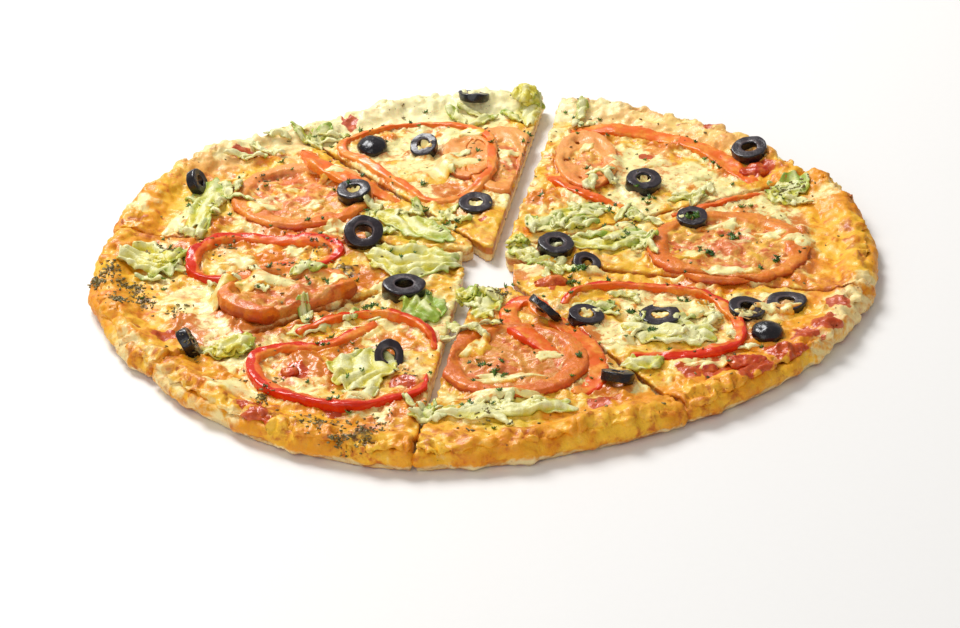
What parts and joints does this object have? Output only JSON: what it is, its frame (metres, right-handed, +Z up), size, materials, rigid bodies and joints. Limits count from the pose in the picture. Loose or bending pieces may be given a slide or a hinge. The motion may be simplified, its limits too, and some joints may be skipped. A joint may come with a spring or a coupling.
{
  "type": "vegetarian pizza",
  "caption": "Round baked pizza cut into wedge slices that lie together, with a raised crust rim, melted cheese, olive rings, tomato slices, pepper rings and cabbage.",
  "frame": {"origin": "centre of the pizza's underside, on the surface that it lies on", "axes": "+Z up out of the toppings, +X to the viewer's right and -Y towards the viewer in the picture"},
  "size_m": [0.3154, 0.3112, 0.02],
  "materials": {
    "crust": "baked dough, matte, pale at the foot and golden at the crown",
    "cheese": "melted cheese, cream to golden, soft gloss",
    "tomato": "baked tomato slice, wet, orange-red",
    "pepper": "baked pepper strip, glossy skin, red to orange",
    "cabbage": "wilted cabbage leaf, pale to yellow-green, soft gloss",
    "olive": "black olive slice, glossy"
  },
  "bodies": {
    "root": {"crust_right": "crust", "crust_back_right": "crust", "crust_back": "crust", "crust_back_left": "crust", "crust_left": "crust", "crust_front_left": "crust", "crust_front": "crust", "crust_front_right": "crust", "cheese_right": "cheese", "cheese_back_right": "cheese", "cheese_back": "cheese", "cheese_back_left": "cheese", "cheese_left": "cheese", "cheese_front_left": "cheese", "cheese_front": "cheese", "cheese_front_right": "cheese", "tomato_back_left": "tomato", "tomato_back_side": "tomato", "tomato_back_small": "tomato", "tomato_back_right": "tomato", "tomato_right": "tomato", "tomato_front_right": "tomato", "tomato_front": "tomato", "tomato_left": "tomato", "pepper_back_ring": "pepper", "pepper_back_left": "pepper", "pepper_back_left_end": "pepper", "pepper_left_ring": "pepper", "pepper_front_left_ring": "pepper", "pepper_front_left_arc": "pepper", "pepper_front": "pepper", "pepper_front_right_ring": "pepper", "pepper_back_right_thin": "pepper", "pepper_back_right_wide": "pepper", "pepper_right": "pepper", "cabbage_left_tip": "cabbage", "cabbage_left_rim": "cabbage", "cabbage_front_left": "cabbage", "olive_01": "olive", "olive_02": "olive", "olive_03": "olive", "olive_04": "olive", "olive_05": "olive", "olive_06": "olive", "olive_07": "olive", "olive_08": "olive", "olive_09": "olive", "olive_10": "olive", "olive_11": "olive", "olive_12": "olive", "olive_13": "olive", "olive_14": "olive", "olive_15": "olive", "olive_16": "olive", "olive_17": "olive", "olive_18": "olive", "olive_19": "olive", "olive_20": "olive", "olive_21": "olive", "olive_22": "olive"}
  },
  "joints": []
}
